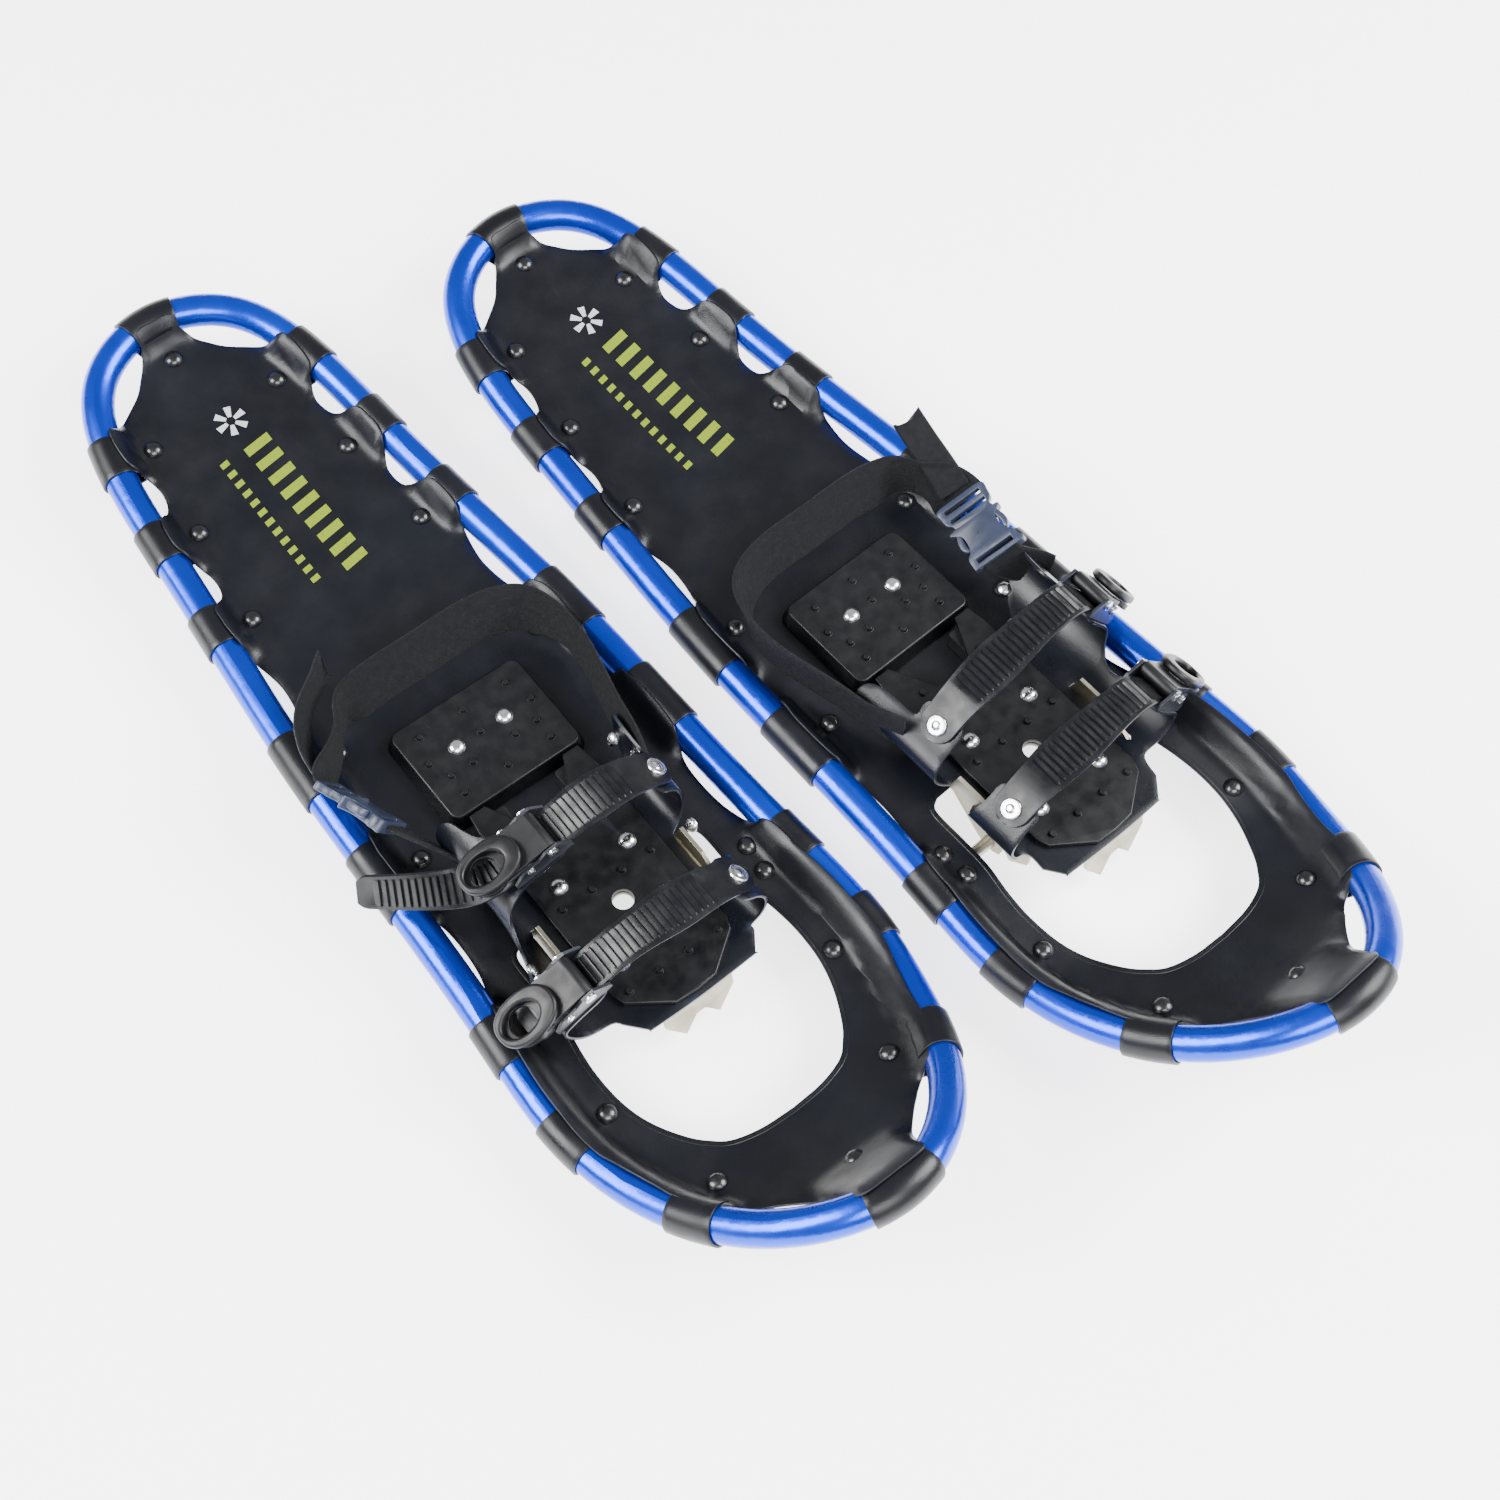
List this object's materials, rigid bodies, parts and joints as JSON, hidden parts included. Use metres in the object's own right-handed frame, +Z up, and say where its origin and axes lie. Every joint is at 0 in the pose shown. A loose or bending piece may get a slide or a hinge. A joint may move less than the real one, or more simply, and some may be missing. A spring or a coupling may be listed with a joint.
{
  "type": "snowshoe pair",
  "caption": "Pair of recreational snowshoes: bent-tube frames with riveted sheet decks and pivoting ratchet-strap bindings with crampons.",
  "frame": {"origin": "centre of the bottom of the pair's bounding box, on the floor under the crampon teeth", "axes": "+Y towards the toes, +X to the wearer's right, +Z up; the right shoe lies straight along Y and the left one is turned outwards by 3.3 degrees, as the pair lies"},
  "size_m": [0.4974, 0.8377, 0.1135],
  "materials": {
    "blue_tube": "bright blue anodised tube with fine drawn lines",
    "alloy": "mill finish",
    "deck_sheet": "smooth coated sheet with a soft sheen",
    "band_strip": "coated strip, satin",
    "black_rivet": "black dome rivet",
    "steel": "stainless sheet, brushed",
    "moulded_black": "moulded black with fine texture",
    "bright_screw": "bright plated",
    "harness_sheet": "flexible moulded sheet, satin",
    "strap_plastic": "toothed flexible plastic",
    "ratchet_grey": "dark grey moulded",
    "ratchet_black": "glossy black",
    "webbing": "ribbed coated webbing",
    "buckle_plastic": "moulded, slightly glossy"
  },
  "bodies": {
    "right_shoe": {"right_frame_tube": "blue_tube", "right_frame_sleeve": "alloy", "right_deck": "deck_sheet", "right_deck_bands": "band_strip", "right_deck_rivets": "black_rivet", "right_pivot_axle": "steel", "right_axle_brackets": "moulded_black", "right_heel_pad": "moulded_black", "right_heel_crampon": "steel", "right_heel_screws": "bright_screw"},
    "right_binding": {"right_base_plate": "moulded_black", "right_toe_crampon": "steel", "right_base_screws": "bright_screw", "right_harness": "harness_sheet", "right_strap_rivets": "bright_screw", "right_instep_ladder": "strap_plastic", "right_instep_base": "ratchet_grey", "right_toe_ladder": "strap_plastic", "right_toe_base": "ratchet_grey", "right_ratchet_pins": "bright_screw", "right_ratchet_springs": "steel", "right_heel_strap": "webbing", "right_buckle_socket": "buckle_plastic", "right_buckle_tab": "webbing"},
    "right_instep_lever": {"right_instep_lever": "ratchet_black"},
    "right_instep_pawl": {"right_instep_pawl": "ratchet_black"},
    "right_toe_lever": {"right_toe_lever": "ratchet_black"},
    "right_toe_pawl": {"right_toe_pawl": "ratchet_black"},
    "right_buckle_plug": {"right_buckle_plug": "buckle_plastic"},
    "left_shoe": {"left_frame_tube": "blue_tube", "left_frame_sleeve": "alloy", "left_deck": "deck_sheet", "left_deck_bands": "band_strip", "left_deck_rivets": "black_rivet", "left_pivot_axle": "steel", "left_axle_brackets": "moulded_black", "left_heel_pad": "moulded_black", "left_heel_crampon": "steel", "left_heel_screws": "bright_screw"},
    "left_binding": {"left_base_plate": "moulded_black", "left_toe_crampon": "steel", "left_base_screws": "bright_screw", "left_harness": "harness_sheet", "left_strap_rivets": "bright_screw", "left_instep_ladder": "strap_plastic", "left_instep_base": "ratchet_grey", "left_toe_ladder": "strap_plastic", "left_toe_base": "ratchet_grey", "left_ratchet_pins": "bright_screw", "left_ratchet_springs": "steel", "left_heel_strap": "webbing", "left_buckle_socket": "buckle_plastic", "left_buckle_tab": "webbing"},
    "left_instep_lever": {"left_instep_lever": "ratchet_black"},
    "left_instep_pawl": {"left_instep_pawl": "ratchet_black"},
    "left_toe_lever": {"left_toe_lever": "ratchet_black"},
    "left_toe_pawl": {"left_toe_pawl": "ratchet_black"},
    "left_buckle_plug": {"left_buckle_plug": "buckle_plastic"}
  },
  "joints": [
    {"name": "left_shoe_lift", "type": "slide", "parent": "right_shoe", "child": "left_shoe", "axis": [0, 0, 1], "range_m": [0, 0.25]},
    {"name": "right_heel_lift", "type": "hinge", "parent": "right_shoe", "child": "right_binding", "pos_m": [0.12869, 0.11835, 0.02], "axis": [-1, 0, 0], "range_deg": [0, 22.5]},
    {"name": "right_instep_lever_open", "type": "hinge", "parent": "right_binding", "child": "right_instep_lever", "pos_m": [0.15518, 0.05465, 0.09196], "axis": [0, -1, 0], "range_deg": [0, 75]},
    {"name": "right_instep_pawl_release", "type": "hinge", "parent": "right_binding", "child": "right_instep_pawl", "pos_m": [0.17015, 0.05465, 0.08586], "axis": [0, 1, 0], "range_deg": [0, 9], "stiffness_Nm_per_rad": 0.05, "springref_deg": -5.73},
    {"name": "right_toe_lever_open", "type": "hinge", "parent": "right_binding", "child": "right_toe_lever", "pos_m": [0.18917, 0.13465, 0.08475], "axis": [0, -1, 0], "range_deg": [0, 75]},
    {"name": "right_toe_pawl_release", "type": "hinge", "parent": "right_binding", "child": "right_toe_pawl", "pos_m": [0.20285, 0.13465, 0.07614], "axis": [0, 1, 0], "range_deg": [0, 9], "stiffness_Nm_per_rad": 0.05, "springref_deg": -5.73},
    {"name": "right_heel_buckle", "type": "slide", "parent": "right_binding", "child": "right_buckle_plug", "axis": [0.309, -0.9511, 0], "range_m": [0, 0.022]},
    {"name": "left_heel_lift", "type": "hinge", "parent": "left_shoe", "child": "left_binding", "pos_m": [-0.12535, 0.1883, 0.02], "axis": [-0.9984, -0.0569, 0], "range_deg": [0, 15]},
    {"name": "left_instep_lever_open", "type": "hinge", "parent": "left_binding", "child": "left_instep_lever", "pos_m": [-0.2008, 0.1232, 0.09089], "axis": [-0.0569, 0.9984, 0], "range_deg": [0, 75]},
    {"name": "left_instep_pawl_release", "type": "hinge", "parent": "left_binding", "child": "left_instep_pawl", "pos_m": [-0.20808, 0.12279, 0.07646], "axis": [0.0569, -0.9984, 0], "range_deg": [0, 9], "stiffness_Nm_per_rad": 0.05, "springref_deg": -5.73},
    {"name": "left_toe_lever_open", "type": "hinge", "parent": "left_binding", "child": "left_toe_lever", "pos_m": [-0.19557, 0.19061, 0.08211], "axis": [-0.0569, 0.9984, 0], "range_deg": [0, 75]},
    {"name": "left_toe_pawl_release", "type": "hinge", "parent": "left_binding", "child": "left_toe_pawl", "pos_m": [-0.20408, 0.19012, 0.06837], "axis": [0.0569, -0.9984, 0], "range_deg": [0, 9], "stiffness_Nm_per_rad": 0.05, "springref_deg": -5.73},
    {"name": "left_heel_buckle", "type": "slide", "parent": "left_binding", "child": "left_buckle_plug", "axis": [-0.1692, -0.9856, 0], "range_m": [0, 0.022]}
  ]
}
